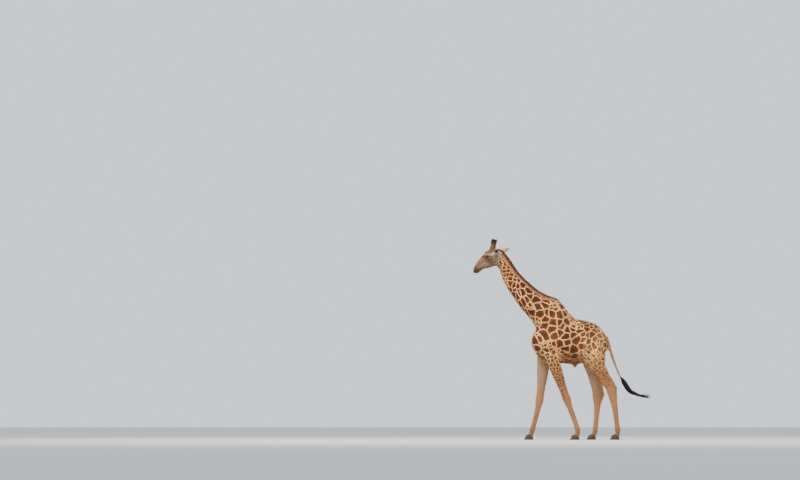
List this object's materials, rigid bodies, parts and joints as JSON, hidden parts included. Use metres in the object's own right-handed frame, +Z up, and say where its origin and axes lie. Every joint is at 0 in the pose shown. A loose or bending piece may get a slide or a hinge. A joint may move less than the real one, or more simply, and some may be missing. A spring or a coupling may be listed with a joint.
{
  "type": "giraffe",
  "caption": "Life-size walking giraffe with a long raised neck, blotched coat, upright mane and swinging tail, standing on its hooves.",
  "frame": {"origin": "middle of the box's underside, on the floor", "axes": "+Z up, -Y towards the nose, +X towards the animal's left side"},
  "size_m": [0.6844, 3.7834, 4.2703],
  "materials": {
    "coat": "short flat fur, brown blotches on a tan net",
    "mane": "stiff red-brown hair",
    "tuft": "long black hair",
    "horn": "skin-covered bone with dark hair on its tip",
    "hoof": "dry worn horn",
    "eye": "wet and dark"
  },
  "bodies": {
    "root": {"head": "coat", "neck": "coat", "trunk": "coat", "tail": "coat", "tail_tuft": "tuft", "mane": "mane", "ear_left": "coat", "ear_right": "coat", "eye_left": "eye", "eye_right": "eye", "ossicone_left": "horn", "ossicone_right": "horn", "foreleg_left_upper": "coat", "foreleg_left_lower": "coat", "foreleg_right_upper": "coat", "foreleg_right_lower": "coat", "hindleg_left_upper": "coat", "hindleg_left_lower": "coat", "hindleg_right_upper": "coat", "hindleg_right_lower": "coat", "hoof_fore_left_outer": "hoof", "hoof_fore_left_inner": "hoof", "hoof_fore_right_outer": "hoof", "hoof_fore_right_inner": "hoof", "hoof_hind_left_outer": "hoof", "hoof_hind_left_inner": "hoof", "hoof_hind_right_outer": "hoof", "hoof_hind_right_inner": "hoof"}
  },
  "joints": []
}
